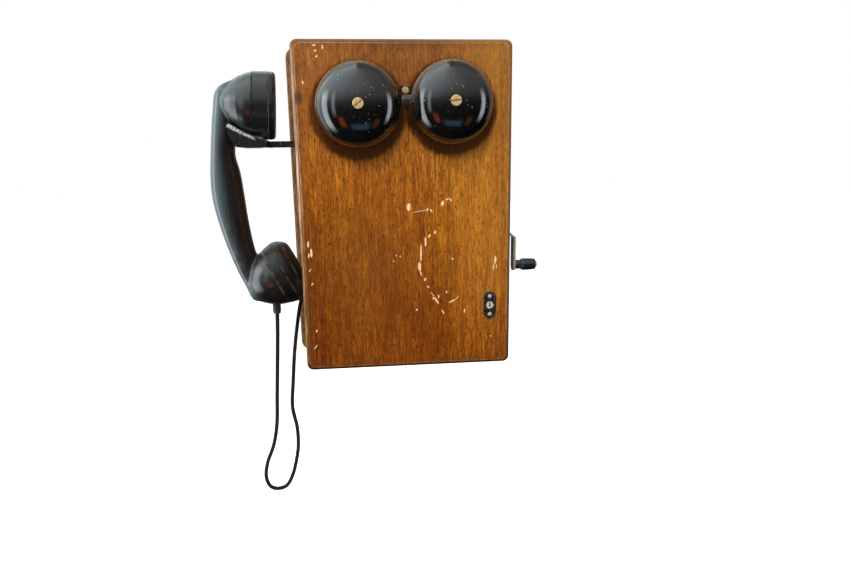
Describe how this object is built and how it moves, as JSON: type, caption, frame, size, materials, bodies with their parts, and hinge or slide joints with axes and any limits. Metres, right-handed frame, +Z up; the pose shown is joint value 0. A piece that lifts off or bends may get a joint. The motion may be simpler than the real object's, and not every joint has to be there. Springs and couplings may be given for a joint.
{
  "type": "wall telephone",
  "caption": "Wooden wall telephone with hinged door, twin gongs, hand crank generator, and a handset hanging from a switch hook by a cloth cord.",
  "frame": {"origin": "centre of the backboard's wall face", "axes": "+Z up, +Y into the wall, so the door faces -Y and the crank is on the +X side"},
  "size_m": [0.318, 0.1474, 0.4561],
  "materials": {
    "wood_door": "oiled walnut veneer, satin, worn edges",
    "wood_case": "stained walnut, satin",
    "wood_back": "stained walnut, satin",
    "wood_raw": "plain softwood, matt",
    "steel_dull": "dull, slightly rusted",
    "steel_bright": "turned",
    "nickel_silver": "satin",
    "brass_aged": "tarnished",
    "brass_bright": "turned, handled",
    "iron_grey": "machined, oiled",
    "magnet_paint": "dark red-brown enamel",
    "black_metal": "worn black japan",
    "gong_enamel": "gloss black enamel, dusty",
    "bakelite": "semi-gloss black phenolic, slightly faded",
    "ebonite": "matt moulded rubber",
    "cotton_green": "cotton covered wire, varnished",
    "cord_cloth": "braided cotton cover"
  },
  "bodies": {
    "case": {"backboard": "wood_back", "case_bottom": "wood_case", "case_side_left": "wood_case", "case_side_right": "wood_case", "case_top": "wood_case", "case_wood_screws": "steel_bright", "coil_bobbin": "ebonite", "coil_winding": "cotton_green", "contact_block": "ebonite", "contact_springs": "nickel_silver", "cord_bushing": "ebonite", "crank_bushing": "brass_aged", "generator_end_plate_left": "brass_aged", "generator_end_plate_right": "brass_aged", "generator_magnets": "magnet_paint", "generator_pole_pieces": "iron_grey", "generator_shelf": "wood_raw", "handset_cord": "cord_cloth", "hinge_case_leaves": "steel_dull", "hinge_pins": "steel_dull", "hook_bracket": "steel_dull", "hook_pivot_pin": "steel_bright", "hook_slot_plate": "black_metal", "terminal_screws": "brass_aged", "terminal_strip": "wood_raw"},
    "door": {"door_panel": "wood_door", "hinge_door_leaves": "steel_dull", "door_wood_screws": "steel_bright", "gong_left": "gong_enamel", "gong_right": "gong_enamel", "gong_posts": "steel_dull", "front_brass_screws": "brass_bright", "hammer_guard": "steel_dull", "ringer_frame": "iron_grey", "ringer_coils": "cotton_green", "ringer_cores": "iron_grey", "ringer_magnet": "magnet_paint", "lock_plate": "black_metal", "lock_plate_screws": "steel_bright"},
    "clapper": {"ringer_armature": "iron_grey", "hammer_rod": "steel_dull", "hammer_head": "black_metal"},
    "lock": {"lock_barrel": "brass_bright"},
    "crank": {"crank_arm": "steel_dull", "crank_shaft": "steel_bright", "drive_gear": "brass_aged", "crank_nut": "steel_bright", "knob_spindle": "steel_bright"},
    "knob": {"crank_knob": "bakelite"},
    "armature": {"generator_armature": "iron_grey", "generator_winding": "cotton_green", "generator_pinion": "steel_bright"},
    "handset": {"handset_handle": "bakelite", "receiver_cap": "bakelite", "receiver_capsule": "nickel_silver", "transmitter_cap": "bakelite", "transmitter_capsule": "nickel_silver", "cord_ferrule": "ebonite"},
    "hook": {"hook_lever": "black_metal"}
  },
  "joints": [
    {"name": "door_hinge", "type": "hinge", "parent": "case", "child": "door", "pos_m": [-0.0937, -0.092, 0], "axis": [0, 0, -1], "range_deg": [0, 100]},
    {"name": "clapper_swing", "type": "hinge", "parent": "door", "child": "clapper", "pos_m": [0.0009, -0.084, 0.094], "axis": [0, 0, 1], "range_deg": [-1.6, 1.6]},
    {"name": "lock_turn", "type": "hinge", "parent": "door", "child": "lock", "pos_m": [0.0765, -0.104, -0.0893], "axis": [0, -1, 0], "range_deg": [0, 90]},
    {"name": "crank_turn", "type": "hinge", "parent": "case", "child": "crank", "pos_m": [0.086, -0.06, -0.014], "axis": [1, 0, 0], "continuous": true},
    {"name": "knob_spin", "type": "hinge", "parent": "crank", "child": "knob", "pos_m": [0.124, -0.06, -0.0608], "axis": [1, 0, 0], "continuous": true},
    {"name": "armature_spin", "type": "hinge", "parent": "case", "child": "armature", "pos_m": [0.034, -0.06, -0.0491], "axis": [1, 0, 0], "continuous": true},
    {"name": "handset_lift", "type": "slide", "parent": "case", "child": "handset", "axis": [-0.7071, 0, 0.7071], "range_m": [0, 0.08], "deforming": ["handset_cord"]},
    {"name": "hook_rise", "type": "hinge", "parent": "case", "child": "hook", "pos_m": [-0.062, -0.054, 0.0605], "axis": [0, 1, 0], "range_deg": [0, 8]}
  ],
  "couplings": [
    {"joint": "armature_spin", "follows": "crank_turn", "ratio": -5},
    {"joint": "hook_rise", "follows": "handset_lift", "rad_per_m": 1.745}
  ]
}
